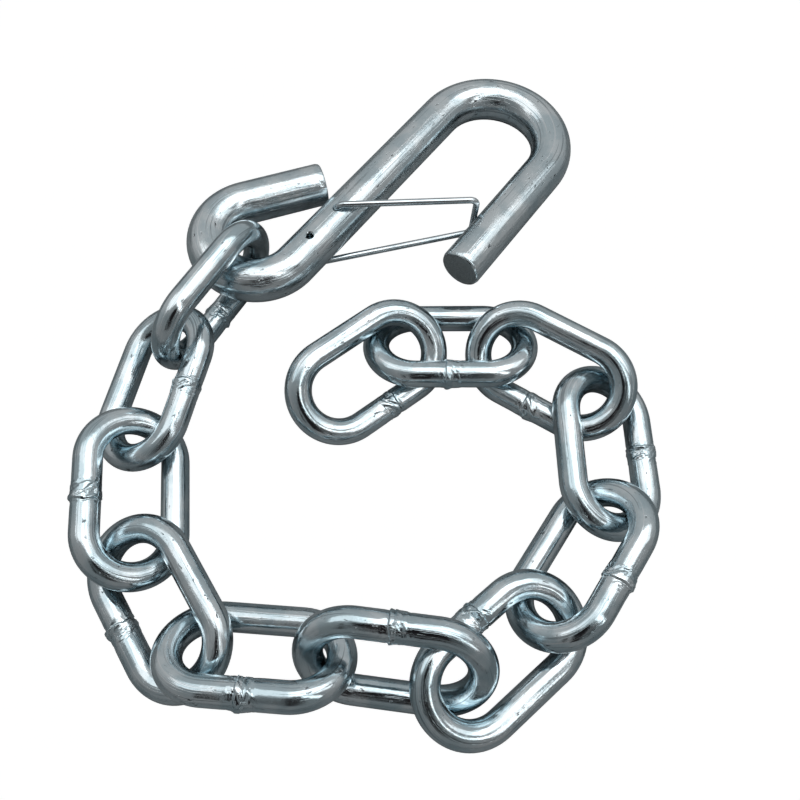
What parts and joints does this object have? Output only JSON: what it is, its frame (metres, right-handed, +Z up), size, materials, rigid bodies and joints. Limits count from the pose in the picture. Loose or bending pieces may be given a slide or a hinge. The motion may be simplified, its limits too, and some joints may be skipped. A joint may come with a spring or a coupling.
{
  "type": "safety chain hook",
  "caption": "Welded steel safety chain laid in a loose curl, with a bent-bar S-hook on one end and a sprung wire keeper across the hook's mouth.",
  "frame": {"origin": "middle of the footprint, on the flat surface that the chain and hook lie on", "axes": "+Z up from the surface; +Y towards the hook's bowl; the free end of the chain lies near the origin"},
  "size_m": [0.145, 0.1905, 0.0293],
  "materials": {
    "zinc_bar": "bright zinc plating over cold-bent round bar, drawn streaks and fine pits",
    "zinc_link": "bright zinc plating over welded wire links, faint blue-grey tint, dull weld beads",
    "spring_wire": "bright drawn spring wire"
  },
  "bodies": {
    "hook_body": {"s_hook": "zinc_bar"},
    "keeper_body": {"keeper_wire": "spring_wire"},
    "link_01_body": {"chain_link_01": "zinc_link"},
    "link_02_body": {"chain_link_02": "zinc_link"},
    "link_03_body": {"chain_link_03": "zinc_link"},
    "link_04_body": {"chain_link_04": "zinc_link"},
    "link_05_body": {"chain_link_05": "zinc_link"},
    "link_06_body": {"chain_link_06": "zinc_link"},
    "link_07_body": {"chain_link_07": "zinc_link"},
    "link_08_body": {"chain_link_08": "zinc_link"},
    "link_09_body": {"chain_link_09": "zinc_link"},
    "link_10_body": {"chain_link_10": "zinc_link"},
    "link_11_body": {"chain_link_11": "zinc_link"},
    "link_12_body": {"chain_link_12": "zinc_link"}
  },
  "joints": [
    {"name": "keeper_swing", "type": "hinge", "parent": "hook_body", "child": "keeper_body", "pos_m": [-0.0146, 0.0363, 0.0115], "axis": [0.041, 0.056, 0.9976], "range_deg": [0, 28], "stiffness_Nm_per_rad": 0.03, "springref_deg": -11.46, "deforming": ["keeper_wire"]},
    {"name": "link_01_swing", "type": "hinge", "parent": "hook_body", "child": "link_01_body", "pos_m": [-0.0389, 0.0221, 0.0133], "axis": [-0.8883, 0.4591, 0.01], "range_deg": [-42, 42]},
    {"name": "link_02_swing", "type": "hinge", "parent": "link_01_body", "child": "link_02_body", "pos_m": [-0.0526, -0.0017, 0.0132], "axis": [-0.3006, 0.1503, 0.9418], "range_deg": [-18, 3]},
    {"name": "link_03_swing", "type": "hinge", "parent": "link_02_body", "child": "link_03_body", "pos_m": [-0.0531, -0.0255, 0.0111], "axis": [0.7181, 0.6283, 0.2992], "range_deg": [-3, 42]},
    {"name": "link_04_swing", "type": "hinge", "parent": "link_03_body", "child": "link_04_body", "pos_m": [-0.049, -0.0493, 0.004], "axis": [-0.2588, -0.428, 0.8659], "range_deg": [-18, 3]},
    {"name": "link_05_swing", "type": "hinge", "parent": "link_04_body", "child": "link_05_body", "pos_m": [-0.037, -0.0654, 0.0111], "axis": [-0.5406, 0.841, 0.02], "range_deg": [-3, 42]},
    {"name": "link_06_swing", "type": "hinge", "parent": "link_05_body", "child": "link_06_body", "pos_m": [-0.0062, -0.0759, 0.0102], "axis": [0.01, 0.8, -0.6], "range_deg": [-6, 42]},
    {"name": "link_07_swing", "type": "hinge", "parent": "link_06_body", "child": "link_07_body", "pos_m": [0.0146, -0.0843, 0.0044], "axis": [0.799, -0.0499, 0.5993], "range_deg": [-42, 0]},
    {"name": "link_08_swing", "type": "hinge", "parent": "link_07_body", "child": "link_08_body", "pos_m": [0.0372, -0.0591, 0.011], "axis": [-0.973, 0.01, 0.2307], "range_deg": [-3, 42]},
    {"name": "link_09_swing", "type": "hinge", "parent": "link_08_body", "child": "link_09_body", "pos_m": [0.0515, -0.0375, 0.0045], "axis": [-0.819, -0.4894, -0.2996], "range_deg": [-42, 0]},
    {"name": "link_10_swing", "type": "hinge", "parent": "link_09_body", "child": "link_10_body", "pos_m": [0.0626, -0.0064, 0.0058], "axis": [-0.853, 0.4114, 0.3211], "range_deg": [-15, 0]},
    {"name": "link_11_swing", "type": "hinge", "parent": "link_10_body", "child": "link_11_body", "pos_m": [0.0297, -0.0042, 0.0042], "axis": [-0.1098, 0.549, 0.8286], "range_deg": [-9, 39]},
    {"name": "link_12_swing", "type": "hinge", "parent": "link_11_body", "child": "link_12_body", "pos_m": [0.012, -0.0058, 0.0111], "axis": [0.9998, 0, 0.02], "range_deg": [0, 42]}
  ]
}
